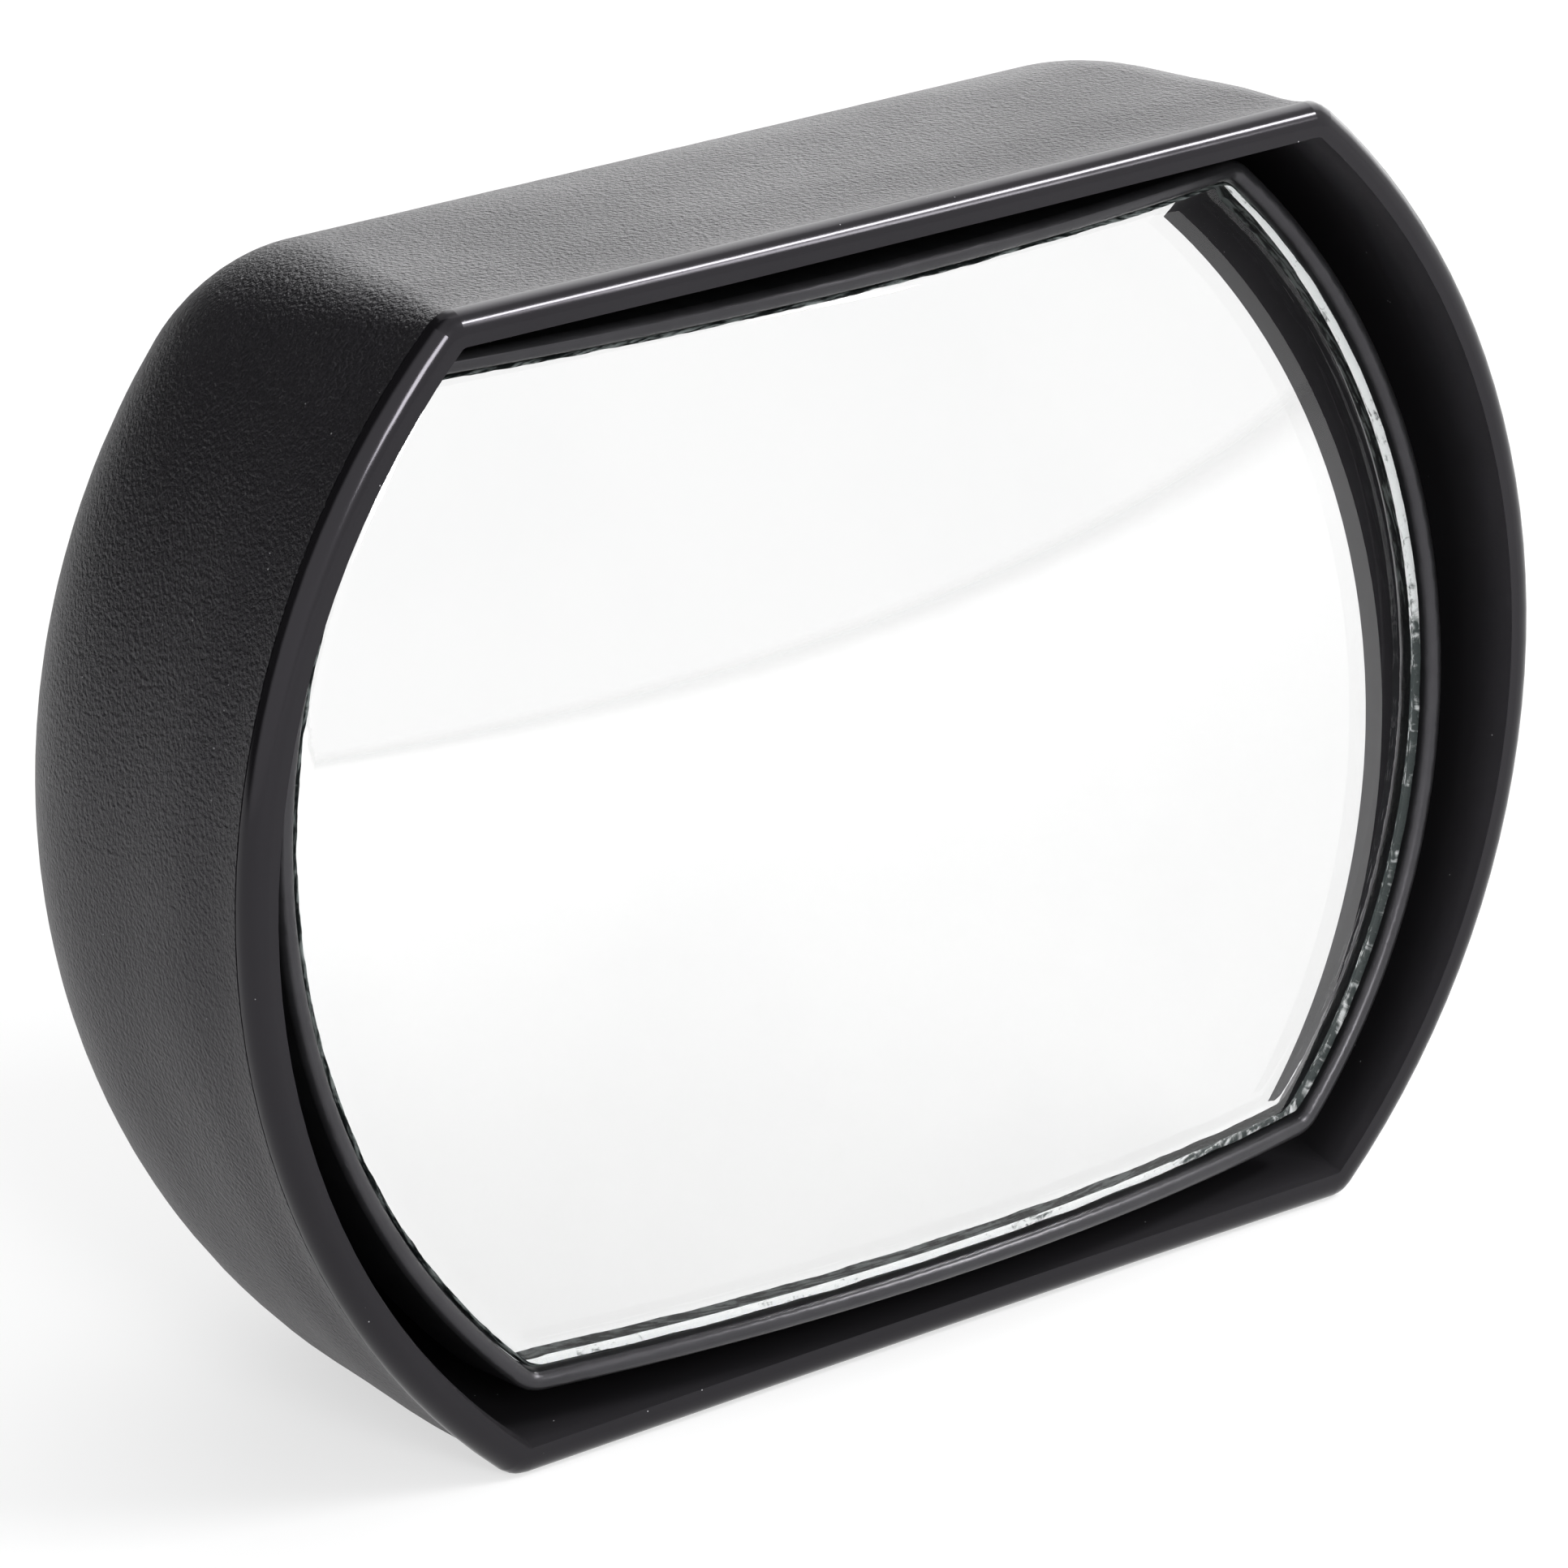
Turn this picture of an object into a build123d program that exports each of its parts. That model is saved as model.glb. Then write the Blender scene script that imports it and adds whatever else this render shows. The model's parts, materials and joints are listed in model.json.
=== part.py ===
"""Convex mirror in a deep hooded housing, with a two-axis tilting mirror head.

Millimetres. +X is to the right of someone looking into the mirror, +Z is up and the mirror
faces -Y. The origin is the centre of the mounting pad's outer face, which lies on the wall.

The housing's own frame has y = 0 at the front edge of its lip and y growing towards the wall.
The head's own frame has its origin at the pivot centre, with the mirror facing -Y.
"""

import math
import os

from build123d import *

# ---------------------------------------------------------------- driving dimensions
# Front opening of the housing: two side arcs cut off by an almost straight top and bottom.
OPEN_HALF_W = 70.0
OPEN_HALF_H = 52.5
OPEN_SIDE_R = 71.4
OPEN_CORNER_R = 1.2
EDGE_BOW = 0.4

# Housing shell
WALL = 2.45
LIP_DEPTH = 2.15
LIP_ROUND = 2.05
LIP_CORNER_R = 4.2
GROOVE_WIDTH = 0.2
GROOVE_DEPTH = 0.12
SHELL_DEPTH = 58.3
BACK_ROUND = 29.5
BACK_TURNS_DEG = (15, 30, 45, 60, 75, 90)
BACK_SMALL_CORNER_SHRINK = 7.4
SIDE_DRAFT = 0.007
TOP_DRAFT = 0.036
SIDE_ARC_LOSS = 2.8
BACK_CORNER_R = 25.4
SMALLEST_CORNER_R = 6.0
STRAIGHT_SECTIONS = 4
SMALLEST_BOW_SHARE = 0.1

# Mounting pad on the flat of the back wall
PAD_W = 76.0
PAD_H = 40.0
PAD_THICK = 1.2
PAD_CORNER_R = 8.0

# Tilting head, as set: the top leans back
PIVOT_Y = 8.4
HEAD_TILT_DEG = 4.6
HEAD_GAP = 4.4
RIM_WIDTH = 1.8
RIM_ROUND = 0.85
RIM_CORNER_R = 3.7
HEAD_BOW = 0.05
RIM_BACK_DEPTH = 2.0
CURVE_R = 185.0
CURVE_APEX = 13.6
RIM_RISE = 0.9
GLASS_DROP = 0.45
GLASS_THICK = 2.5
GLASS_SEAM = 0.35
GLASS_CORNER_R = 2.5
GLASS_PLAY = 0.2
COATING_THICK = 0.12
FOAM_THICK = 0.8
FOAM_INSET = 3.0
CARRIER_THICK = 2.2

# Holder plate that snaps into the back of the carrier
SEAT_Y = -6.9
SEAT_INNER_R = 22.0
HOLDER_R = 25.0
HOLDER_THICK = 2.0
SNAP_WALL = 2.0
SNAP_PLAY = 0.2
SNAP_LIP = 0.8
SNAP_LIP_THICK = 1.0
SNAP_SLOTS = 4
SNAP_SLOT_W = 5.0
RIB_COUNT = 8
RIB_THICK = 1.6
RIB_HEIGHT = 1.8

# Gimbal
EAR_INNER = 7.5
EAR_THICK = 3.2
EAR_HALF_W = 3.0
RING_INNER_R = 11.5
RING_OUTER_R = 15.0
RING_HALF_T = 2.3
RING_EDGE_ROUND = 0.4
PIN_R = 1.3
PIN_PLAY = 0.05
PIN_START = 6.8
PIN_END = 14.6
PIN_CHAMFER = 0.3

# Friction plunger, its cup and its spring
CUP_R = 8.0
CUP_WALL = 1.5
PLUNGER_TIP_R = 7.9
PLUNGER_R = 3.7
PLUNGER_BACK = 12.0
PLUNGER_NOSE_R = 1.9
PLUNGER_NOSE_LENGTH = 5.0
GUIDE_PLAY = 0.1
SPRING_SEAT_Y = 26.0
WASHER_THICK = 0.8
SPRING_MEAN_R = 2.8
SPRING_WIRE_R = 0.4
SPRING_TURNS = 6
SPRING_END_GAP = 0.05

# Pivot base
COLUMN_FRONT = 7.2
COLUMN_FRONT_R = 11.2
COLUMN_BACK_R = 15.0
COLUMN_HOLLOW_R = 10.5
COLUMN_HOLLOW_TAPER = 2.0
COLUMN_HOLLOW_START = 29.0
FLANGE_THICK = 3.0
FLANGE_W = 62.0
FLANGE_H = 40.0
FLANGE_CORNER_R = 6.0
GUSSET_THICK = 2.5
GUSSET_REACH = 12.0
GUSSET_LENGTH = 22.0

# Screws, and the bosses that they bite into
BOSS_HEIGHT = 5.8
BOSS_R = 4.2
SCREW_X = 24.0
SCREW_Z = 13.5
SCREW_R = 1.9
SCREW_HOLE_R = 2.2
SCREW_LENGTH = 9.5
SCREW_TIP_LENGTH = 1.2
SCREW_HEAD_R = 4.0
SCREW_HEAD_H = 2.4
SCREW_HEAD_ROUND = 1.2
RECESS_W = 0.9
RECESS_LENGTH = 4.4
RECESS_DEPTH = 1.3

# Pieces of one solid run this far into each other, and cuts run this far past a face.
OVERLAP = 0.1
RIB_ROOT = 0.2
EAR_ROOT = 1.0
CUT_PAST = 1.0
EDGE_SEARCH = 0.01

# ---------------------------------------------------------------- derived sizes
TOTAL_DEPTH = SHELL_DEPTH + PAD_THICK
BACK_WALL_FRONT = SHELL_DEPTH - WALL
FLANGE_BACK = BACK_WALL_FRONT - BOSS_HEIGHT
FLANGE_FRONT = FLANGE_BACK - FLANGE_THICK
CURVE_CENTRE_Y = CURVE_R - CURVE_APEX
GLASS_FRONT_R = CURVE_R - GLASS_DROP
GLASS_BACK_R = GLASS_FRONT_R - GLASS_THICK
COATING_BACK_R = GLASS_BACK_R - COATING_THICK
FOAM_BACK_R = COATING_BACK_R - FOAM_THICK
CARRIER_BACK_R = FOAM_BACK_R - CARRIER_THICK
FRONT_CLEAR = 40.0
TO_WALL_FRAME = Pos(0, -TOTAL_DEPTH, 0)
HEAD_PLACE = TO_WALL_FRAME * Pos(0, PIVOT_Y, 0) * Rot(-HEAD_TILT_DEG, 0, 0)
PIVOT_PLACE = TO_WALL_FRAME * Pos(0, PIVOT_Y, 0)
# Cylinders are made along Z, and these turn them along Y and X. The last turns X parts upright.
ALONG_Y = Rot(-90, 0, 0)
ALONG_X = Rot(0, 90, 0)
UPRIGHT = Rot(0, 90, 0)
FROM_BASE = (Align.CENTER, Align.CENTER, Align.MIN)
SCREW_PLACES = [(x, z) for x in (-SCREW_X, SCREW_X) for z in (-SCREW_Z, SCREW_Z)]


# ---------------------------------------------------------------- outlines
def circles_meet(x0, z0, r0, x1, z1, r1):
    """The point with larger x where two circles in the XZ plane meet."""
    dx, dz = x1 - x0, z1 - z0
    gap = math.hypot(dx, dz)
    along = (r0**2 - r1**2 + gap**2) / (2 * gap)
    across = math.sqrt(r0**2 - along**2)
    mid_x, mid_z = x0 + along * dx / gap, z0 + along * dz / gap
    step_x, step_z = across * dz / gap, across * dx / gap
    return max((mid_x + step_x, mid_z - step_z), (mid_x - step_x, mid_z + step_z))


def toward(x0, z0, x1, z1, distance):
    """The point at a distance from the first point, towards the second."""
    gap = math.hypot(x1 - x0, z1 - z0)
    return x0 + (x1 - x0) * distance / gap, z0 + (z1 - z0) * distance / gap


def loop(half_w, half_h, side_r, corner_r, bow, y):
    """Closed outline at depth y: two side arcs, four tangent corners, bowed top and bottom."""
    side_x = half_w - side_r
    bow_r = half_w**2 / (2 * bow)
    bow_z = half_h - bow + bow_r
    corner_x, corner_z = circles_meet(side_x, 0, side_r - corner_r, 0, bow_z, bow_r + corner_r)
    side_end = toward(side_x, 0, corner_x, corner_z, side_r)
    bow_end = toward(corner_x, corner_z, 0, bow_z, corner_r)
    chord_mid = ((side_end[0] + bow_end[0]) / 2, (side_end[1] + bow_end[1]) / 2)
    corner_mid = toward(corner_x, corner_z, *chord_mid, corner_r)

    def at(point, sx=1, sz=1):
        return (sx * point[0], y, sz * point[1])

    edges = [
        ThreePointArc(at(side_end, 1, -1), (half_w, y, 0), at(side_end)),
        ThreePointArc(at(side_end), at(corner_mid), at(bow_end)),
        ThreePointArc(at(bow_end), (0, y, half_h - bow), at(bow_end, -1)),
        ThreePointArc(at(bow_end, -1), at(corner_mid, -1), at(side_end, -1)),
        ThreePointArc(at(side_end, -1), (-half_w, y, 0), at(side_end, -1, -1)),
        ThreePointArc(at(side_end, -1, -1), at(corner_mid, -1, -1), at(bow_end, -1, -1)),
        ThreePointArc(at(bow_end, -1, -1), (0, y, -half_h + bow), at(bow_end, 1, -1)),
        ThreePointArc(at(bow_end, 1, -1), at(corner_mid, 1, -1), at(side_end, 1, -1)),
    ]
    return Wire(edges)


def prism(wire, length):
    """Solid from an outline, running towards +Y."""
    return Solid.extrude(Face(wire), Vector(0, length, 0))


def rod(radius, y_start, y_end):
    """Round rod along Y from one depth to another."""
    cylinder = Cylinder(radius, y_end - y_start, align=FROM_BASE)
    return Pos(0, y_start, 0) * ALONG_Y * cylinder


def head_loop(inset, y):
    """Outline of the head, inset from the rim's outer wall."""
    gap = HEAD_GAP + inset
    corner_r = max(RIM_CORNER_R - inset, RIM_ROUND)
    if inset >= RIM_WIDTH + GLASS_PLAY:
        corner_r = GLASS_CORNER_R
    return loop(OPEN_HALF_W - gap, OPEN_HALF_H - gap, OPEN_SIDE_R - gap, corner_r, HEAD_BOW, y)


# ---------------------------------------------------------------- housing shell
def shell_section(y, inset, shrink):
    """Outline of the shell at depth y, inset by the wall and shrunk by the back's rounding."""
    depth = y - LIP_DEPTH
    share = depth / (SHELL_DEPTH - LIP_DEPTH)
    side_loss = SIDE_DRAFT * depth + shrink + inset
    top_loss = TOP_DRAFT * depth + shrink + inset
    half_w = OPEN_HALF_W + WALL - side_loss
    half_h = OPEN_HALF_H + WALL - top_loss
    side_r = OPEN_SIDE_R + WALL - side_loss - SIDE_ARC_LOSS * share
    corner_r = LIP_CORNER_R + (BACK_CORNER_R - LIP_CORNER_R) * share - shrink - inset
    smallest = SMALLEST_CORNER_R if shrink > BACK_SMALL_CORNER_SHRINK else OPEN_CORNER_R
    bow = EDGE_BOW * max(1 - share, SMALLEST_BOW_SHARE)
    return loop(half_w, half_h, side_r, max(corner_r, smallest), bow, y)


def shell_loft(front_y, inset):
    """Drafted, round-backed body: its outside, or with the wall's inset its cavity."""
    round_start = SHELL_DEPTH - BACK_ROUND
    round_r = BACK_ROUND - inset
    step = (round_start - front_y) / (STRAIGHT_SECTIONS - 1)
    sections = [shell_section(front_y + step * n, inset, 0) for n in range(STRAIGHT_SECTIONS)]
    for angle in BACK_TURNS_DEG:
        turn = math.radians(angle)
        y = round_start + round_r * math.sin(turn)
        sections.append(shell_section(y, inset, round_r * (1 - math.cos(turn))))
    return Solid.make_loft(sections)


def make_housing_shell():
    lip = prism(shell_section(0, 0, 0), LIP_DEPTH)
    front_edges = lip.edges().filter_by_position(Axis.Y, -EDGE_SEARCH, EDGE_SEARCH)
    lip = fillet(front_edges, LIP_ROUND)
    groove = prism(shell_section(LIP_DEPTH, GROOVE_DEPTH, 0), GROOVE_WIDTH)
    body = shell_loft(LIP_DEPTH + GROOVE_WIDTH, 0)
    shell = lip + groove + body - shell_loft(-CUT_PAST, WALL)
    boss = rod(BOSS_R, FLANGE_BACK, FLANGE_BACK + BOSS_HEIGHT + WALL / 2)
    pilot = rod(SCREW_R, FLANGE_BACK, FLANGE_BACK + SCREW_LENGTH - FLANGE_THICK)
    for x, z in SCREW_PLACES:
        shell += Pos(x, 0, z) * boss
    for x, z in SCREW_PLACES:
        shell -= Pos(x, 0, z) * pilot
    return TO_WALL_FRAME * shell


def make_mount_pad():
    outline = RectangleRounded(PAD_W, PAD_H, PAD_CORNER_R)
    pad = extrude(outline, PAD_THICK)
    return Pos(0, -PAD_THICK, 0) * ALONG_Y * pad


# ---------------------------------------------------------------- pivot base
def ear(front_y, back_y):
    """Pivot ear on the +X side, along Y, with the pin's hole, rounded about the pivot centre."""
    length = back_y - front_y
    centre_y = (back_y + front_y) / 2
    blade = Pos(EAR_INNER + EAR_THICK / 2, centre_y, 0) * Box(EAR_THICK, length, 2 * EAR_HALF_W)
    tip = Pos(EAR_INNER + EAR_THICK / 2, 0, 0) * ALONG_X * Cylinder(EAR_HALF_W, EAR_THICK)
    hole = Pos(EAR_INNER + EAR_THICK / 2, 0, 0) * ALONG_X * Cylinder(PIN_R, 2 * EAR_THICK)
    return blade + tip - hole


def make_pivot_base():
    flange_y = FLANGE_FRONT - PIVOT_Y
    back_y = FLANGE_BACK - PIVOT_Y
    cone = Cone(COLUMN_FRONT_R, COLUMN_BACK_R, flange_y - COLUMN_FRONT, align=FROM_BASE)
    column = Pos(0, COLUMN_FRONT, 0) * ALONG_Y * cone
    outline = RectangleRounded(FLANGE_W, FLANGE_H, FLANGE_CORNER_R)
    flange = Pos(0, flange_y, 0) * ALONG_Y * extrude(outline, FLANGE_THICK)
    base = column + flange
    gusset_points = [
        (COLUMN_FRONT_R, flange_y - GUSSET_LENGTH),
        (COLUMN_BACK_R + GUSSET_REACH, flange_y),
        (0, flange_y),
        (0, flange_y - GUSSET_LENGTH),
    ]
    gusset_side = Plane.XY * make_face(Polyline(*gusset_points, close=True))
    gusset = Pos(0, 0, -GUSSET_THICK / 2) * extrude(gusset_side, GUSSET_THICK)
    base += gusset + mirror(gusset, Plane.YZ)
    # The ears run a little into the column, so that they join it.
    fork_ear = ear(0, COLUMN_FRONT + EAR_ROOT)
    base += fork_ear + mirror(fork_ear, Plane.YZ)
    base -= rod(PLUNGER_R + GUIDE_PLAY, 0, SPRING_SEAT_Y)
    hollow_front_r = COLUMN_HOLLOW_R - COLUMN_HOLLOW_TAPER
    hollow_length = back_y - COLUMN_HOLLOW_START
    hollow = Cone(hollow_front_r, COLUMN_HOLLOW_R, hollow_length, align=FROM_BASE)
    base -= Pos(0, COLUMN_HOLLOW_START, 0) * ALONG_Y * hollow
    for x, z in SCREW_PLACES:
        base -= Pos(x, 0, z) * rod(SCREW_HOLE_R, flange_y - CUT_PAST, back_y + CUT_PAST)
    return PIVOT_PLACE * base


def make_screw():
    """Pan-head tapping screw along Y: head towards -Y, its underside at y = 0."""
    head = rod(SCREW_HEAD_R, -SCREW_HEAD_H, 0)
    front_edge = head.edges().group_by(Axis.Y)[0]
    head = fillet(front_edge, SCREW_HEAD_ROUND)
    tip_y = SCREW_LENGTH - SCREW_TIP_LENGTH
    shank = rod(SCREW_R, -OVERLAP, tip_y)
    cone = Cone(SCREW_R, SCREW_R / 3, SCREW_TIP_LENGTH, align=FROM_BASE)
    tip = Pos(0, tip_y, 0) * ALONG_Y * cone
    recess_y = -SCREW_HEAD_H + RECESS_DEPTH / 2
    recess = Box(RECESS_LENGTH, RECESS_DEPTH, RECESS_W) + Box(RECESS_W, RECESS_DEPTH, RECESS_LENGTH)
    return head + shank + tip - Pos(0, recess_y, 0) * recess


def make_base_screws():
    screw = make_screw()
    return TO_WALL_FRAME * Compound([Pos(x, FLANGE_FRONT, z) * screw for x, z in SCREW_PLACES])


def make_pins():
    """Two pins along X, one each side of the pivot centre."""
    length = PIN_END - PIN_START
    pin = ALONG_X * Cylinder(PIN_R, length)
    pin = chamfer(pin.edges().filter_by(GeomType.CIRCLE), PIN_CHAMFER)
    middle = (PIN_START + PIN_END) / 2
    return [Pos(middle, 0, 0) * pin, Pos(-middle, 0, 0) * pin]


def make_fork_pins():
    return PIVOT_PLACE * Compound(make_pins())


def make_head_pins():
    return HEAD_PLACE * Compound([UPRIGHT * pin for pin in make_pins()])


# ---------------------------------------------------------------- friction plunger
def make_plunger():
    body = rod(PLUNGER_R, -CUP_R, PLUNGER_BACK)
    body &= Sphere(PLUNGER_TIP_R) + rod(PLUNGER_R, 0, PLUNGER_BACK)
    nose = rod(PLUNGER_NOSE_R, PLUNGER_BACK - OVERLAP, PLUNGER_BACK + PLUNGER_NOSE_LENGTH)
    return PIVOT_PLACE * (body + nose)


def make_spring_washer():
    front_y = SPRING_SEAT_Y - WASHER_THICK
    washer = rod(PLUNGER_R, front_y, SPRING_SEAT_Y)
    washer -= rod(PLUNGER_NOSE_R, front_y - CUT_PAST, SPRING_SEAT_Y + CUT_PAST)
    return PIVOT_PLACE * washer


def make_plunger_spring():
    room = SPRING_SEAT_Y - WASHER_THICK - PLUNGER_BACK
    height = room - 2 * (SPRING_WIRE_R + SPRING_END_GAP)
    coil = Helix(height / SPRING_TURNS, height, SPRING_MEAN_R)
    wire = sweep((coil ^ 0) * Circle(SPRING_WIRE_R), path=coil)
    start = PLUNGER_BACK + SPRING_WIRE_R + SPRING_END_GAP
    return PIVOT_PLACE * Pos(0, start, 0) * ALONG_Y * wire


# ---------------------------------------------------------------- gimbal ring
def make_gimbal_ring():
    ring = rod(RING_OUTER_R, -RING_HALF_T, RING_HALF_T)
    ring -= rod(RING_INNER_R, -RING_HALF_T - CUT_PAST, RING_HALF_T + CUT_PAST)
    ring = fillet(ring.edges().filter_by(GeomType.CIRCLE), RING_EDGE_ROUND)
    bore = Cylinder(PIN_R + PIN_PLAY, 2 * (RING_OUTER_R + CUT_PAST))
    ring -= ALONG_X * bore
    ring -= bore
    return HEAD_PLACE * ring


# ---------------------------------------------------------------- tilting head
def dome(radius):
    """Ball of the mirror's curve at one layer's radius."""
    return Pos(0, CURVE_CENTRE_Y, 0) * Sphere(radius)


def curved_layer(inset, front_r, back_r):
    """Solid inside the head's inset outline, between two layers of the mirror's curve."""
    column = prism(head_loop(inset, -FRONT_CLEAR), 2 * FRONT_CLEAR)
    return (column & dome(front_r)) - dome(back_r)


def make_mirror_glass():
    edge_inset = RIM_WIDTH + GLASS_PLAY
    glass = curved_layer(edge_inset, GLASS_FRONT_R, GLASS_BACK_R)
    front_face = glass.faces().filter_by(GeomType.SPHERE).sort_by(Axis.Y)[0]
    glass = chamfer(front_face.outer_wire().edges(), GLASS_SEAM)
    return HEAD_PLACE * glass


def make_mirror_coating():
    return HEAD_PLACE * curved_layer(RIM_WIDTH + GLASS_PLAY, GLASS_BACK_R, COATING_BACK_R)


def make_glass_pad():
    inset = RIM_WIDTH + GLASS_PLAY + FOAM_INSET
    return HEAD_PLACE * curved_layer(inset, COATING_BACK_R, FOAM_BACK_R)


def carrier_rim():
    """Standing rim round the glass, with a rounded top."""
    rim_back_r = CARRIER_BACK_R - RIM_BACK_DEPTH
    outer = curved_layer(0, CURVE_R + RIM_RISE, rim_back_r)
    rim = outer - prism(head_loop(RIM_WIDTH, -FRONT_CLEAR), 2 * FRONT_CLEAR)
    top_face = rim.faces().filter_by(GeomType.SPHERE).sort_by(Axis.Y)[0]
    return fillet(top_face.edges(), RIM_ROUND)


def carrier_ribs():
    """Radial ribs on the carrier's back, from the snap ring to the rim."""
    start = HOLDER_R + SNAP_PLAY
    layer = curved_layer(RIM_WIDTH / 2, CARRIER_BACK_R + RIB_ROOT, CARRIER_BACK_R - RIB_HEIGHT)
    blades = []
    for index in range(RIB_COUNT):
        angle = 360 * (index + 0.5) / RIB_COUNT
        blade = Pos(OPEN_HALF_W / 2 + start, 0, 0) * Box(OPEN_HALF_W, 2 * FRONT_CLEAR, RIB_THICK)
        blades.append(Rot(0, angle, 0) * blade)
    return [layer & blade for blade in blades]


def make_glass_carrier():
    carrier = curved_layer(RIM_WIDTH / 2, FOAM_BACK_R, CARRIER_BACK_R) + carrier_rim()
    for rib in carrier_ribs():
        carrier += rib
    # A ring with a flat ledge for the holder plate and a lip that snaps behind it.
    snap_inner = HOLDER_R + SNAP_PLAY
    snap_outer = snap_inner + SNAP_WALL
    lip_front = SEAT_Y + HOLDER_THICK + SNAP_PLAY
    snap_back = lip_front + SNAP_LIP_THICK
    carrier += rod(snap_outer, -FRONT_CLEAR, snap_back) & dome(FOAM_BACK_R)
    carrier -= rod(SEAT_INNER_R, -FRONT_CLEAR, snap_back + CUT_PAST)
    carrier -= rod(snap_inner, SEAT_Y, lip_front)
    carrier -= rod(snap_inner - SNAP_LIP, SEAT_Y, snap_back + CUT_PAST)
    # Slots let the ring's quarters spring apart over the plate's edge.
    slot_x = snap_inner - SNAP_LIP + (SNAP_WALL + SNAP_LIP) / 2
    slot_length = snap_back - SEAT_Y
    slot = Box(SNAP_WALL + SNAP_LIP + CUT_PAST, slot_length, SNAP_SLOT_W)
    for index in range(SNAP_SLOTS):
        turn = Rot(0, 360 * index / SNAP_SLOTS, 0)
        carrier -= turn * Pos(slot_x, SEAT_Y + slot_length / 2 + SNAP_PLAY, 0) * slot
    return HEAD_PLACE * carrier


def make_holder_plate():
    plate_back = SEAT_Y + HOLDER_THICK
    plate = rod(HOLDER_R, SEAT_Y, plate_back)
    cup = Sphere(CUP_R + CUP_WALL) & rod(CUP_R + CUP_WALL, -CUP_R - CUP_WALL, plate_back)
    # The ears run a little into the plate, so that they join it.
    head_ear = ear(plate_back - EAR_ROOT, 0)
    ears = head_ear + mirror(head_ear, Plane.YZ)
    plate = plate + cup + UPRIGHT * ears
    plate -= Sphere(CUP_R)
    return HEAD_PLACE * plate


# ---------------------------------------------------------------- export
PARTS = {
    "housing_shell": make_housing_shell,
    "mount_pad": make_mount_pad,
    "pivot_base": make_pivot_base,
    "base_screws": make_base_screws,
    "fork_pins": make_fork_pins,
    "plunger": make_plunger,
    "plunger_spring": make_plunger_spring,
    "spring_washer": make_spring_washer,
    "gimbal_ring": make_gimbal_ring,
    "head_pins": make_head_pins,
    "holder_plate": make_holder_plate,
    "glass_carrier": make_glass_carrier,
    "glass_pad": make_glass_pad,
    "mirror_coating": make_mirror_coating,
    "mirror_glass": make_mirror_glass,
}


def main():
    os.makedirs("parts", exist_ok=True)
    for name, make in PARTS.items():
        export_step(make(), f"parts/{name}.step")


main()
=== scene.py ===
"""Looks of the hooded convex mirror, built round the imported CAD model. Metres, Z up."""

import json
import math

import bpy
from mathutils import Matrix, Vector, noise


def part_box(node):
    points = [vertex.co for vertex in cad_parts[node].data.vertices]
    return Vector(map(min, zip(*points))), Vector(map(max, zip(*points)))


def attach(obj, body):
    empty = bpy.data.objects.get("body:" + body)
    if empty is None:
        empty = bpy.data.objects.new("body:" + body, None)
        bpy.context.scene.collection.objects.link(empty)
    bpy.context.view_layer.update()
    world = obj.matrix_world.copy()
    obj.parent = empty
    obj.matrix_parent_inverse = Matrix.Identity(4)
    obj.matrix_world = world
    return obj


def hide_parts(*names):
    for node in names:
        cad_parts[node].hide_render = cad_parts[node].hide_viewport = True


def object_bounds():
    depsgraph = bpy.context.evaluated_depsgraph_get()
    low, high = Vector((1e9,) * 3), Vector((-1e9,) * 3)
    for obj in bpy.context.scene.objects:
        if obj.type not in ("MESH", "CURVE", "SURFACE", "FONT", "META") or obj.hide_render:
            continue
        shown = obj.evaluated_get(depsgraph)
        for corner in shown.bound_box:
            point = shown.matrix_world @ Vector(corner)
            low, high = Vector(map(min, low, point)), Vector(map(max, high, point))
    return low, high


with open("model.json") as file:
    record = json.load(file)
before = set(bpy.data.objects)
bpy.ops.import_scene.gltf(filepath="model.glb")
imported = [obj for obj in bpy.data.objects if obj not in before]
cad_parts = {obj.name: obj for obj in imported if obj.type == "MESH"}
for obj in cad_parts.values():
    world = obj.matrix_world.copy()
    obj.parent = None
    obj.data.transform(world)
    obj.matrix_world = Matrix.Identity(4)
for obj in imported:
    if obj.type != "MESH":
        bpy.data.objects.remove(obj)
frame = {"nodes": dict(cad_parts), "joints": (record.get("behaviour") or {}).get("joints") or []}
cad_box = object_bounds()

MM = 0.001

# ---------------------------------------------------------------- camera
CAMERA_AZIMUTH = -34.646
CAMERA_ELEVATION = 20.56
CAMERA_ROLL = -2.596
CAMERA_DISTANCE = 679.744 * MM
CAMERA_TARGET_X = -16.01 * MM
CAMERA_TARGET_Z = 4.285 * MM
SENSOR = 36.0
LENS = 174.31


def make_camera(front_y):
    azimuth = math.radians(CAMERA_AZIMUTH)
    elevation = math.radians(CAMERA_ELEVATION)
    roll = math.radians(CAMERA_ROLL)
    flat = math.cos(elevation)
    back = Vector((math.sin(azimuth) * flat, -math.cos(azimuth) * flat, math.sin(elevation)))
    right = Vector((math.cos(azimuth), math.sin(azimuth), 0))
    up = back.cross(right)
    rolled_right = right * math.cos(roll) + up * math.sin(roll)
    rolled_up = up * math.cos(roll) - right * math.sin(roll)
    data = bpy.data.cameras.new("camera")
    data.lens = LENS
    data.sensor_width = SENSOR
    data.clip_start = 0.01
    data.clip_end = 100
    camera = bpy.data.objects.new("camera", data)
    bpy.context.scene.collection.objects.link(camera)
    target = Vector((CAMERA_TARGET_X, front_y, CAMERA_TARGET_Z))
    place = Matrix((rolled_right, rolled_up, back)).transposed().to_4x4()
    place.translation = target + back * CAMERA_DISTANCE
    camera.matrix_world = place
    bpy.context.scene.camera = camera


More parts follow.
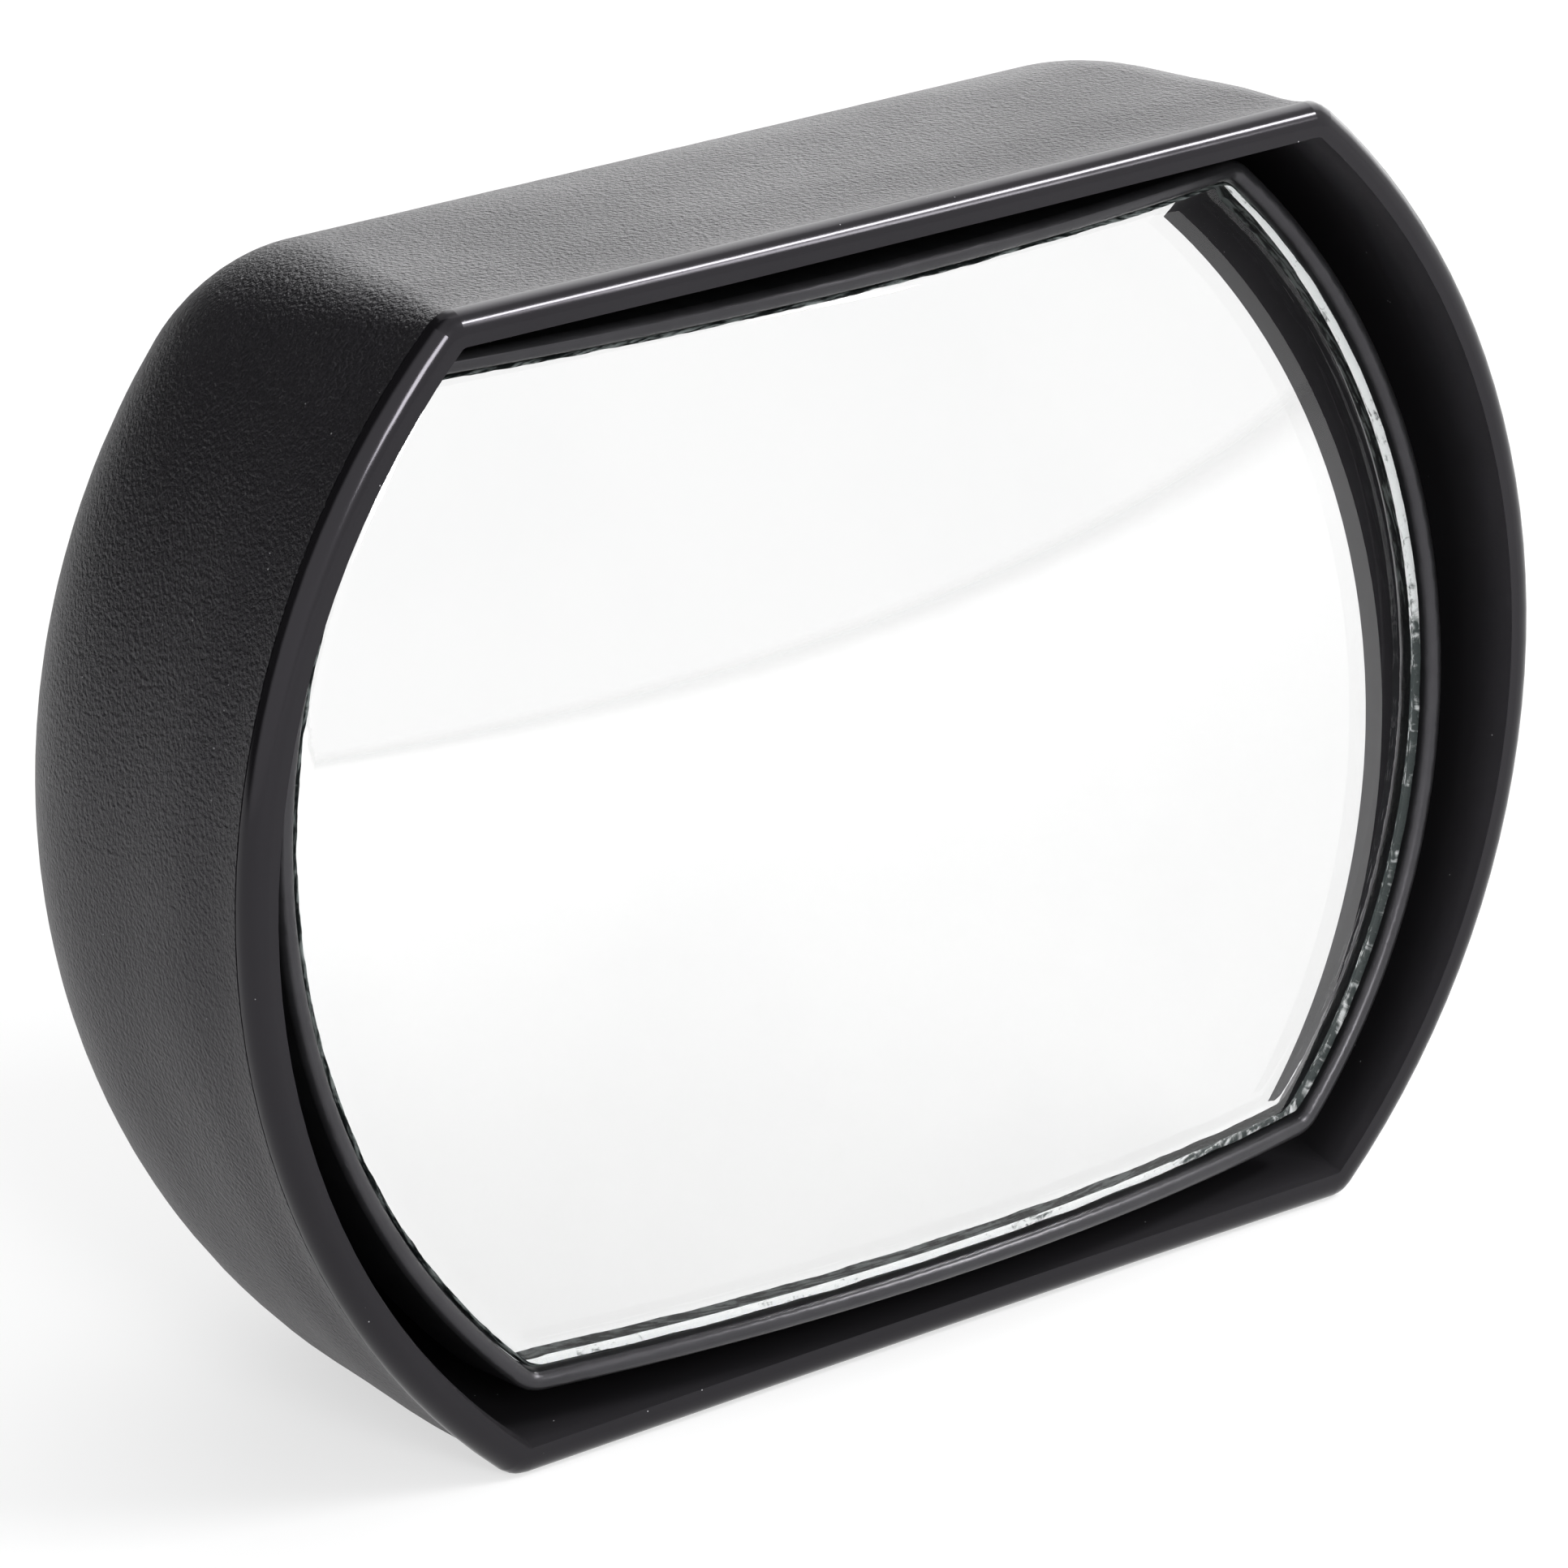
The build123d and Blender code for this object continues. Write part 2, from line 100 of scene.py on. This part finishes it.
# ---------------------------------------------------------------- node helpers
class Nodes:
    """A material's node tree, with short calls for the nodes that are used over and over."""

    def __init__(self, name):
        self.material = bpy.data.materials.new(name)
        self.material.use_nodes = True
        self.tree = self.material.node_tree
        self.tree.nodes.clear()
        self.output = self.add("ShaderNodeOutputMaterial")
        self.shader = self.add("ShaderNodeBsdfPrincipled")
        self.link(self.shader.outputs[0], self.output.inputs[0])
        self.position = self.add("ShaderNodeTexCoord").outputs["Object"]

    def add(self, kind, **settings):
        node = self.tree.nodes.new(kind)
        for key, value in settings.items():
            setattr(node, key, value)
        return node

    def link(self, source, target):
        self.tree.links.new(source, target)

    def put(self, socket, value):
        if isinstance(value, bpy.types.NodeSocket):
            self.link(value, socket)
        else:
            socket.default_value = value

    def math(self, operation, a, b=0.0):
        node = self.add("ShaderNodeMath", operation=operation)
        self.put(node.inputs[0], a)
        self.put(node.inputs[1], b)
        return node.outputs[0]

    def noise(self, size, detail=2.0, roughness=0.5, distortion=0.0, stretch=(1, 1, 1)):
        """Noise whose features are about size metres across, between 0 and 1."""
        mapping = self.add("ShaderNodeMapping")
        mapping.inputs["Scale"].default_value = stretch
        self.link(self.position, mapping.inputs["Vector"])
        node = self.add("ShaderNodeTexNoise")
        self.link(mapping.outputs[0], node.inputs["Vector"])
        node.inputs["Scale"].default_value = 1 / size
        node.inputs["Detail"].default_value = detail
        node.inputs["Roughness"].default_value = roughness
        node.inputs["Distortion"].default_value = distortion
        return node.outputs[0]

    def cells(self, size, feature="F1"):
        """Distance to the middle of cells about size metres across."""
        node = self.add("ShaderNodeTexVoronoi", feature=feature)
        self.link(self.position, node.inputs["Vector"])
        node.inputs["Scale"].default_value = 1 / size
        return node.outputs[0]

    def ramp(self, value, low, high, to_low=0.0, to_high=1.0):
        """Smooth step from to_low, where value is at low, to to_high, where it is at high."""
        node = self.add("ShaderNodeMapRange", interpolation_type="SMOOTHSTEP")
        self.put(node.inputs["Value"], value)
        node.inputs["From Min"].default_value = low
        node.inputs["From Max"].default_value = high
        self.put(node.inputs["To Min"], to_low)
        self.put(node.inputs["To Max"], to_high)
        return node.outputs[0]

    def mix_color(self, share, a, b):
        node = self.add("ShaderNodeMix", data_type="RGBA")
        self.put(node.inputs[0], share)
        for socket, value in ((node.inputs[6], a), (node.inputs[7], b)):
            self.put(socket, (*value, 1.0) if isinstance(value, tuple) else value)
        return node.outputs[2]

    def mix(self, share, a, b):
        node = self.add("ShaderNodeMix", data_type="FLOAT")
        self.put(node.inputs[0], share)
        self.put(node.inputs[2], a)
        self.put(node.inputs[3], b)
        return node.outputs[0]

    def bump(self, height, depth):
        """height is from 0 to 1 and depth is in metres."""
        node = self.add("ShaderNodeBump")
        node.inputs["Strength"].default_value = 1.0
        node.inputs["Distance"].default_value = depth
        self.link(height, node.inputs["Height"])
        self.link(node.outputs[0], self.shader.inputs["Normal"])


def set_inputs(nodes, **values):
    for key, value in values.items():
        nodes.put(nodes.shader.inputs[key.replace("_", " ")], value)


# ---------------------------------------------------------------- materials
# The lip ends this far behind the hood's front, and the grain fades in over a short stretch there.
LIP_DEPTH = 2.15 * MM
GRAIN_FADE = (-0.05 * MM, 0.25 * MM)
# Outside surfaces are those that face away from a point this far behind the lip.
MIDDLE_DEPTH = 28 * MM
PEBBLE_SIZE = 0.33 * MM
VALLEY_SIZE = 0.45 * MM
FINE_SIZE = 0.13 * MM
GRAIN_DEPTH = 0.25 * MM
LIP_ROUGHNESS = 0.15
SCUFF_ROUGHNESS = 0.26
INNER_ROUGHNESS = 0.7
DUST_SPACING = 1.9 * MM
DUST_COLOR = (0.34, 0.34, 0.35)
# How much lighter and darker a plain plastic's flow marks are than its colour.
FLECK = 0.15


def housing_material(part_y):
    """Black ABS: polished lip, leather grain outside behind the parting line, dull inside."""
    n = Nodes("housing_plastic")
    split = n.add("ShaderNodeSeparateXYZ")
    n.link(n.position, split.inputs[0])
    behind = n.ramp(split.outputs[1], part_y + GRAIN_FADE[0], part_y + GRAIN_FADE[1])
    middle = n.add("ShaderNodeVectorMath", operation="SUBTRACT")
    n.link(n.position, middle.inputs[0])
    middle.inputs[1].default_value = (0, part_y + MIDDLE_DEPTH, 0)
    geometry = n.add("ShaderNodeNewGeometry")
    outward = n.add("ShaderNodeVectorMath", operation="DOT_PRODUCT")
    n.link(geometry.outputs["True Normal"], outward.inputs[0])
    n.link(middle.outputs[0], outward.inputs[1])
    outside = n.math("GREATER_THAN", outward.outputs["Value"], 0.0)
    grained = n.math("MULTIPLY", behind, outside)

    pebbles = n.noise(PEBBLE_SIZE, detail=2.0, roughness=0.6)
    valleys = n.cells(VALLEY_SIZE, feature="SMOOTH_F1")
    grain = n.math("ADD", n.math("MULTIPLY", pebbles, 0.7), n.math("MULTIPLY", valleys, 0.5))
    fine = n.noise(FINE_SIZE, detail=1.0)
    grain = n.math("ADD", grain, n.math("MULTIPLY", fine, 0.14))
    smooth = n.math("MULTIPLY", n.noise(9 * MM, detail=1.0), 0.25)
    height = n.mix(grained, smooth, grain)
    n.bump(height, GRAIN_DEPTH)

    scuffs = n.ramp(n.noise(0.6 * MM, detail=4.0, stretch=(1, 9, 1)), 0.62, 0.8)
    cloud = n.noise(22 * MM, detail=3.0)
    rough_grain = n.ramp(cloud, 0.3, 0.7, 0.39, 0.44)
    rough_outside = n.mix(scuffs, LIP_ROUGHNESS, SCUFF_ROUGHNESS)
    rough_lip = n.mix(outside, INNER_ROUGHNESS, rough_outside)
    set_inputs(n, Roughness=n.mix(grained, rough_lip, rough_grain), IOR=1.39)
    set_inputs(n, Specular_Tint=(0.95, 0.91, 1.0, 1.0))
    shade = n.ramp(cloud, 0.25, 0.75)
    plain = n.mix_color(shade, (0.0025, 0.0023, 0.0028), (0.004, 0.0037, 0.0043))
    peaks = n.ramp(grain, 0.35, 0.75)
    grainy = n.mix_color(peaks, (0.002, 0.0018, 0.0023), (0.0052, 0.0048, 0.0058))
    color = n.mix_color(grained, plain, grainy)
    specks = n.ramp(n.cells(DUST_SPACING), 0.045, 0.025)
    dusty = n.math("GREATER_THAN", n.noise(6 * MM, detail=0.0), 0.52)
    dust = n.math("MULTIPLY", n.math("MULTIPLY", specks, dusty), 0.8)
    color = n.mix_color(dust, color, DUST_COLOR)
    set_inputs(n, Base_Color=color)
    return n.material


def plastic_material(name, color, roughness, mould_marks=0.02 * MM):
    n = Nodes(name)
    cloud = n.noise(11 * MM, detail=3.0)
    satin = n.noise(0.4 * MM, detail=2.0)
    flow = n.noise(2.5 * MM, detail=2.0, stretch=(1, 0.25, 1))
    dark = tuple(c * (1 - FLECK) for c in color)
    light = tuple(min(c * (1 + FLECK), 1.0) for c in color)
    scratches = n.ramp(n.noise(0.5 * MM, detail=3.0, stretch=(1, 12, 1)), 0.66, 0.8)
    rough = n.ramp(cloud, 0.25, 0.75, roughness * 0.88, roughness * 1.12)
    rough = n.math("ADD", rough, n.math("MULTIPLY", scratches, 0.08))
    shade = n.mix_color(n.ramp(flow, 0.3, 0.7), dark, light)
    set_inputs(n, Base_Color=shade, Roughness=rough, IOR=1.49)
    set_inputs(n, Specular_Tint=(0.96, 0.93, 1.0, 1.0))
    n.bump(satin, mould_marks)
    return n.material


def metal_material(name, color, roughness, stretch):
    n = Nodes(name)
    lines = n.noise(0.35 * MM, detail=4.0, stretch=stretch)
    cloud = n.noise(3 * MM, detail=2.0)
    stains = n.ramp(cloud, 0.45, 0.75)
    worn = tuple(c * 0.72 for c in color)
    rough = n.ramp(lines, 0.3, 0.7, roughness * 0.8, roughness * 1.25)
    set_inputs(n, Base_Color=n.mix_color(stains, color, worn), Roughness=rough, Metallic=1.0)
    n.bump(lines, 0.008 * MM)
    return n.material


def foam_material(name, color):
    n = Nodes(name)
    pores = n.cells(0.45 * MM)
    fuzz = n.noise(0.2 * MM, detail=2.0)
    dark = tuple(c * 0.55 for c in color)
    set_inputs(
        n,
        Base_Color=n.mix_color(n.ramp(pores, 0.1, 0.5), dark, color),
        Roughness=n.ramp(fuzz, 0.3, 0.7, 0.82, 0.96),
        IOR=1.4,
    )
    n.bump(pores, 0.12 * MM)
    return n.material


def glass_material():
    n = Nodes("glass_face")
    smears = n.ramp(n.noise(18 * MM, detail=4.0, distortion=0.8), 0.5, 0.8)
    set_inputs(
        n,
        Base_Color=(0.986, 0.988, 0.987, 1.0),
        Roughness=n.mix(smears, 0.0, 0.006),
        IOR=1.52,
        Transmission_Weight=1.0,
    )
    ripple = n.noise(30 * MM, detail=0.0)
    n.bump(ripple, 0.004 * MM)
    return n.material


# Painted light: this edge material is used twice, once white with emission as a glowing painted
# highlight, once near-black as painted shade.
def ground_edge_material(name, low, high, painted_glow, solid, grain):
    """Ground edge of the glass: streaks along it, broken up towards the lower right corner.

    solid is where the mottling starts; grain is how much of it is streaks, patches and long lines.
    """
    n = Nodes(name)
    streaks = n.noise(0.9 * MM, detail=4.0, distortion=0.9)
    patches = n.noise(6 * MM, detail=2.0)
    lengthwise = n.noise(0.5 * MM, detail=2.0, stretch=(0.2, 1.6, 0.2))
    corner = n.add("ShaderNodeVectorMath", operation="DOT_PRODUCT")
    n.link(n.position, corner.inputs[0])
    corner.inputs[1].default_value = (0.80, 0.0, -0.60)
    broken = n.ramp(corner.outputs["Value"], 42 * MM, 58 * MM, 0.0, 0.2)
    height = n.math("MULTIPLY", streaks, grain[0])
    height = n.math("ADD", height, n.math("MULTIPLY", patches, grain[1]))
    height = n.math("ADD", height, n.math("MULTIPLY", lengthwise, grain[2]))
    mottled = n.ramp(n.math("SUBTRACT", height, broken), solid, solid + 0.14)
    color = n.mix_color(mottled, low, high)
    set_inputs(n, Base_Color=color, Roughness=n.mix(mottled, 0.3, 0.55), IOR=1.5)
    # The emission here is painted light: a glow on the glass edge, which is no lamp.
    if painted_glow:
        set_inputs(n, Emission_Color=color, Emission_Strength=painted_glow)
    n.bump(streaks, 0.2 * MM)
    return n.material


def coating_material():
    n = Nodes("mirror_silver")
    haze = n.ramp(n.noise(25 * MM, detail=3.0), 0.4, 0.8)
    color = n.mix_color(haze, (0.80, 0.80, 0.80), (0.785, 0.785, 0.786))
    set_inputs(n, Base_Color=color, Roughness=n.mix(haze, 0.0, 0.012), Metallic=1.0)
    return n.material


def backing_material():
    n = Nodes("mirror_backing_paint")
    cloud = n.noise(2 * MM, detail=3.0)
    set_inputs(
        n,
        Base_Color=n.mix_color(cloud, (0.16, 0.17, 0.17), (0.22, 0.225, 0.23)),
        Roughness=n.ramp(cloud, 0.3, 0.7, 0.5, 0.65),
    )
    n.bump(cloud, 0.02 * MM)
    return n.material


# The floor fades out between these distances from the middle.
FLOOR_SOLID = 1.0
FLOOR_END = 2.2
# It glows evenly, like a dim light table, so that shadows stay soft.
FLOOR_GLOW = 0.62


def floor_material():
    """Pale floor that fades into the white surroundings far out."""
    n = Nodes("studio_floor")
    cloud = n.noise(120 * MM, detail=2.0)
    distance = n.add("ShaderNodeVectorMath", operation="LENGTH")
    n.link(n.position, distance.inputs[0])
    set_inputs(
        n,
        Base_Color=n.mix_color(cloud, (0.29, 0.29, 0.29), (0.31, 0.31, 0.31)),
        Emission_Color=n.mix_color(cloud, (0.97, 0.97, 0.97), (1.0, 1.0, 1.0)),
        Emission_Strength=FLOOR_GLOW,
        Roughness=n.ramp(cloud, 0.3, 0.7, 0.75, 0.85),
        Alpha=n.ramp(distance.outputs["Value"], FLOOR_SOLID, FLOOR_END, 1.0, 0.0),
        Specular_IOR_Level=0.2,
    )
    return n.material


# ---------------------------------------------------------------- mirror glass and its silvering
# Millimetres, in the mirror's own frame: its curve's axis is Y, and it faces -Y.
HALF_W = 63.6
HALF_H = 46.1
SIDE_R = 65.0
CORNER_R = 2.5
CURVE_CENTRE_Y = 171.4
GLASS_FRONT_R = 184.55
GLASS_THICK = 2.5
COATING_THICK = 0.12
BURIED = 0.05
EDGE_INSET = 0.04
COATING_INSET = 0.08
SEAM = 0.35
RIDGE_HEIGHT = 0.03
# Unevenness of the ground edge: size across, depth, seed.
SEAM_WAVES = (3.0, 0.12, 1.0)
SEAM_NICKS = (0.8, 0.05, 2.0)
RIPPLE_SIZE = 1.6
RIPPLE_DEPTH = 0.05
RIPPLE_SEED = 4.0
RIPPLE_DRIFT = 7
# Share of the edge, at its back, painted bright as a glowing painted highlight, and how strongly
# that painted light glows though the edge is no lamp; the front of the edge is painted shade.
PAINTED_HIGHLIGHT_SHARE = 0.6
EDGE_PAINTED_GLOW = 0.55
# Mesh: points on a quarter's side, corner and straight, then rings of each surface.
SIDE_STEPS = 110
CORNER_STEPS = 16
STRAIGHT_STEPS = 80
RINGS = 44
RING_SPREAD = 0.8
EDGE_STEPS = 12
BACK_RINGS = 12
COATING_BACK_RINGS = 8


def outline(half_w, half_h, side_r, corner_r):
    """Points (x, z) round the glass: side arcs, tangent corners, straight top and bottom."""
    side_x = half_w - side_r
    corner_z = half_h - corner_r
    corner_x = side_x + math.sqrt((side_r - corner_r) ** 2 - corner_z**2)
    lean = math.atan2(corner_z, corner_x - side_x)
    quarter = []
    for step in range(SIDE_STEPS):
        angle = lean * step / SIDE_STEPS
        quarter.append((side_x + side_r * math.cos(angle), side_r * math.sin(angle)))
    for step in range(CORNER_STEPS):
        angle = lean + (math.pi / 2 - lean) * step / CORNER_STEPS
        x = corner_x + corner_r * math.cos(angle)
        quarter.append((x, corner_z + corner_r * math.sin(angle)))
    for step in range(STRAIGHT_STEPS):
        quarter.append((corner_x * (1 - step / STRAIGHT_STEPS), half_h))
    upper = quarter + [(0.0, half_h)] + [(-x, z) for x, z in reversed(quarter)]
    return upper + [(-x, -z) for x, z in upper[1:-1]]


def dome_y(radius, x, z):
    return CURVE_CENTRE_Y - math.sqrt(radius**2 - x * x - z * z)


def wobble(x, z, size, amount, seed):
    return amount * noise.noise(Vector((x / size, z / size, seed)))


def shrunk(points, distance):
    """The outline moved inwards along each point's normal, by a number or a function of x, z."""
    made = []
    count = len(points)
    for i, (x, z) in enumerate(points):
        before, after = points[i - 1], points[(i + 1) % count]
        along = Vector((after[0] - before[0], after[1] - before[1])).normalized()
        inward = distance(x, z) if callable(distance) else distance
        made.append((x - along[1] * inward, z + along[0] * inward))
    return made


def skin(rings, caps, materials_of):
    """Mesh data from rings of equal length, with caps that close a ring to a middle point."""
    count = len(rings[0])
    verts = [p for ring in rings for p in ring]
    faces, slots = [], []
    for r in range(len(rings) - 1):
        for i in range(count):
            j = (i + 1) % count
            a, b = r * count, (r + 1) * count
            faces.append((b + i, b + j, a + j, a + i))
            slots.append(materials_of(r))
    for ring_index, middle, front in caps:
        verts.append(middle)
        tip = len(verts) - 1
        base = ring_index * count
        for i in range(count):
            j = (i + 1) % count
            tri = (tip, base + i, base + j) if front else (tip, base + j, base + i)
            faces.append(tri)
            slots.append(materials_of(ring_index if ring_index == 0 else ring_index - 1))
    return verts, faces, slots


def add_piece(name, verts, faces, slots, materials, place):
    mesh = bpy.data.meshes.new(name)
    mesh.from_pydata([place @ (Vector(v) * MM) for v in verts], [], faces)
    for material in materials:
        mesh.materials.append(material)
    for polygon, slot in zip(mesh.polygons, slots):
        polygon.material_index = slot
        polygon.use_smooth = True
    mesh.update()
    made = bpy.data.objects.new(name, mesh)
    bpy.context.scene.collection.objects.link(made)
    return made


def dome_ring(points, radius, share):
    """The points drawn in to a share of their size and laid on a radius of the curve."""
    return [(x * share, dome_y(radius, x * share, z * share), z * share) for x, z in points]


def disc_rings(points, radius, steps):
    """Rings from near the middle out to the outline, on one radius of the mirror's curve."""
    shares = [(step / steps) ** RING_SPREAD for step in range(1, steps + 1)]
    return [dome_ring(points, radius, share) for share in shares]


def make_glass(place, face, bright, dark):
    rim = outline(HALF_W, HALF_H, SIDE_R, CORNER_R)
    back_r = GLASS_FRONT_R - GLASS_THICK - BURIED
    inner = shrunk(
        rim, lambda x, z: SEAM + wobble(x, z, *SEAM_WAVES) + wobble(x, z, *SEAM_NICKS)
    )
    rings = disc_rings(inner, GLASS_FRONT_R, RINGS)
    for step in range(EDGE_STEPS + 1):
        share = step / EDGE_STEPS
        inset = EDGE_INSET + (RIDGE_HEIGHT if step % 2 else 0.0)

        def edge_inset(x, z):
            drifted = z + RIPPLE_DRIFT * share
            return inset + wobble(x, drifted, RIPPLE_SIZE, RIPPLE_DEPTH, RIPPLE_SEED + step)

        ring = []
        for x, z in shrunk(rim, edge_inset):
            front = dome_y(GLASS_FRONT_R, x, z) + SEAM
            ring.append((x, front + (dome_y(back_r, x, z) - front) * share, z))
        rings.append(ring)
    edge_start = RINGS - 1
    edge_end = edge_start + EDGE_STEPS
    back_rim = shrunk(rim, EDGE_INSET)
    for step in range(1, BACK_RINGS):
        rings.append(dome_ring(back_rim, back_r, 1 - step / BACK_RINGS))
    caps = [
        (0, (0, dome_y(GLASS_FRONT_R, 0, 0), 0), True),
        (len(rings) - 1, (0, dome_y(back_r, 0, 0), 0), False),
    ]

    def slot_of(ring):
        """Polished faces, the front of the edge in painted shade for the rim's shadow, then the
        back of it with a glowing painted highlight.
        """
        if not edge_start <= ring <= edge_end:
            return 0
        return 1 if ring >= edge_start + 1 + EDGE_STEPS * (1 - PAINTED_HIGHLIGHT_SHARE) else 2

    verts, faces, slots = skin(rings, caps, slot_of)
    return add_piece("mirror_glass_piece", verts, faces, slots, [face, bright, dark], place)


def make_coating(place, silver, paint):
    points = shrunk(outline(HALF_W, HALF_H, SIDE_R, CORNER_R), COATING_INSET)
    front_r = GLASS_FRONT_R - GLASS_THICK
    back_r = front_r - COATING_THICK
    rings = disc_rings(points, front_r, RINGS)
    rings.extend(reversed(disc_rings(points, back_r, COATING_BACK_RINGS)))
    caps = [
        (0, (0, dome_y(front_r, 0, 0), 0), True),
        (len(rings) - 1, (0, dome_y(back_r, 0, 0), 0), False),
    ]
    verts, faces, slots = skin(rings, caps, lambda ring: 0 if ring < RINGS - 1 else 1)
    return add_piece("mirror_silvering_piece", verts, faces, slots, [silver, paint], place)


# ---------------------------------------------------------------- studio
def make_floor(bottom):
    corners = ((-1, -1), (1, -1), (1, 1), (-1, 1))
    verts = [(x * FLOOR_END, y * FLOOR_END, bottom) for x, y in corners]
    mesh = bpy.data.meshes.new("floor")
    mesh.from_pydata(verts, [], [(0, 1, 2, 3)])
    mesh.materials.append(floor_material())
    floor = bpy.data.objects.new("floor", mesh)
    bpy.context.scene.collection.objects.link(floor)


def area_light(name, direction, distance, size, power, middle):
    data = bpy.data.lights.new(name, "AREA")
    data.shape = "RECTANGLE"
    data.size, data.size_y = size
    data.energy = power
    light = bpy.data.objects.new(name, data)
    bpy.context.scene.collection.objects.link(light)
    toward = Vector(direction).normalized()
    light.location = middle + toward * distance
    light.rotation_mode = "QUATERNION"
    light.rotation_quaternion = toward.to_track_quat("Z", "Y")
    light.visible_camera = False


# Each softbox: name, direction from the object, distance, width, height, power.
LIGHTS = (
    ("overhead", (0.35, 0.45, 1.0), 1.6, 1.4, 1.4, 4.0),
    ("strip_softbox", (0.53, -0.50, 0.68), 1.3, 0.44, 0.12, 9.5),
    ("front_softbox", (-0.26, -0.89, 0.43), 1.4, 0.32, 0.34, 9.0),
    ("side_softbox", (0.53, -0.68, 0.50), 1.3, 0.09, 0.26, 1.7),
)
WORLD_BASE = 1.27
# Each patch of the studio: direction, cosine where it starts, cosine where it is full, brightness.
WORLD_PATCHES = (
    ((-0.35, 0.80, 0.48), 0.35, 0.70, 0.08),
    ((0.80, 0.50, 0.35), 0.72, 0.90, 3.6),
    ((0.50, -0.86, 0.12), 0.55, 0.76, 1.52),
    ((-0.80, -0.50, 0.35), 0.62, 0.85, 1.9),
)


def make_world():
    """White studio, brightest behind to the right, with a dark side behind to the left."""
    world = bpy.data.worlds.new("studio")
    bpy.context.scene.world = world
    world.use_nodes = True
    tree = world.node_tree
    tree.nodes.clear()
    output = tree.nodes.new("ShaderNodeOutputWorld")
    background = tree.nodes.new("ShaderNodeBackground")
    tree.links.new(background.outputs[0], output.inputs[0])
    coordinates = tree.nodes.new("ShaderNodeTexCoord")
    brightness = None
    for direction, start, full, value in WORLD_PATCHES:
        dot = tree.nodes.new("ShaderNodeVectorMath")
        dot.operation = "DOT_PRODUCT"
        tree.links.new(coordinates.outputs["Generated"], dot.inputs[0])
        dot.inputs[1].default_value = Vector(direction).normalized()
        ramp = tree.nodes.new("ShaderNodeMapRange")
        ramp.interpolation_type = "SMOOTHSTEP"
        ramp.inputs["From Min"].default_value = start
        ramp.inputs["From Max"].default_value = full
        tree.links.new(dot.outputs["Value"], ramp.inputs["Value"])
        mixed = tree.nodes.new("ShaderNodeMix")
        tree.links.new(ramp.outputs[0], mixed.inputs[0])
        mixed.inputs[2].default_value = WORLD_BASE
        if brightness:
            tree.links.new(brightness, mixed.inputs[2])
        mixed.inputs[3].default_value = value
        brightness = mixed.outputs[0]
    tree.links.new(brightness, background.inputs["Strength"])


# ---------------------------------------------------------------- putting it together
def make_looks():
    """Materials of the CAD nodes that stay."""
    part_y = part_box("housing_shell")[0].y + LIP_DEPTH
    screw_steel = metal_material("screw_steel", (0.72, 0.72, 0.74), 0.28, (1, 0.1, 1))
    pin_steel = metal_material("pin_steel", (0.62, 0.62, 0.64), 0.22, (0.1, 1, 0.1))
    carrier_color = (0.012, 0.012, 0.013)
    looks = {
        "housing_shell": housing_material(part_y),
        "mount_pad": foam_material("pad_foam", (0.05, 0.05, 0.053)),
        "pivot_base": plastic_material("base_plastic", (0.03, 0.03, 0.033), 0.42),
        "base_screws": screw_steel,
        "fork_pins": pin_steel,
        "plunger": plastic_material("plunger_plastic", (0.76, 0.75, 0.68), 0.32),
        "plunger_spring": metal_material("spring_steel", (0.5, 0.51, 0.53), 0.25, (1, 1, 0.2)),
        "spring_washer": metal_material("washer_steel", (0.7, 0.7, 0.72), 0.3, (1, 1, 1)),
        "gimbal_ring": plastic_material("ring_plastic", (0.72, 0.72, 0.69), 0.34),
        "head_pins": pin_steel,
        "holder_plate": plastic_material("holder_plastic", (0.045, 0.045, 0.05), 0.4),
        "glass_carrier": plastic_material("carrier_plastic", carrier_color, 0.32, 0.004 * MM),
        "glass_pad": foam_material("glass_foam", (0.08, 0.08, 0.083)),
    }
    for name, material in looks.items():
        node = frame["nodes"][name]
        if not node.material_slots:
            node.data.materials.append(material)
        for slot in node.material_slots:
            slot.material = material


def make_mirror():
    """Glass and silvering, leaned back to the head's angle at rest."""
    yaw = next(j for j in frame["joints"] if j["name"] == "tilt_left_right")
    tilt = math.atan2(yaw["axis"][1], yaw["axis"][2])
    place = Matrix.Translation(Vector(yaw["pos_m"])) @ Matrix.Rotation(-tilt, 4, "X")
    # The glass edge carries painted light: its back is near-white and glows, a painted highlight,
    # and its front is near-black, painted shade for the rim's shadow.
    lit, dull = (0.94, 0.96, 0.96), (0.07, 0.085, 0.083)
    bright = ground_edge_material(
        "glass_edge_painted_highlight", dull, lit, painted_glow=EDGE_PAINTED_GLOW, solid=0.355, grain=(0.4, 0.35, 0.35)
    )
    grey, shaded = (0.15, 0.17, 0.166), (0.006, 0.008, 0.008)
    dark = ground_edge_material(
        "glass_edge_painted_shade", shaded, grey, painted_glow=0.0, solid=0.5, grain=(0.2, 0.2, 0.7)
    )
    glass = make_glass(place, glass_material(), bright, dark)
    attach(glass, "head")
    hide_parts("mirror_glass")
    silvering = make_coating(place, coating_material(), backing_material())
    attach(silvering, "head")
    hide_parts("mirror_coating")


low, high = cad_box
make_camera(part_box("housing_shell")[0].y)
make_looks()
make_mirror()
make_floor(low.z)
make_world()
middle = (low + high) / 2
for name, direction, distance, width, height, power in LIGHTS:
    area_light(name, direction, distance, (width, height), power, middle)
bpy.context.scene.view_settings.view_transform = "Standard"
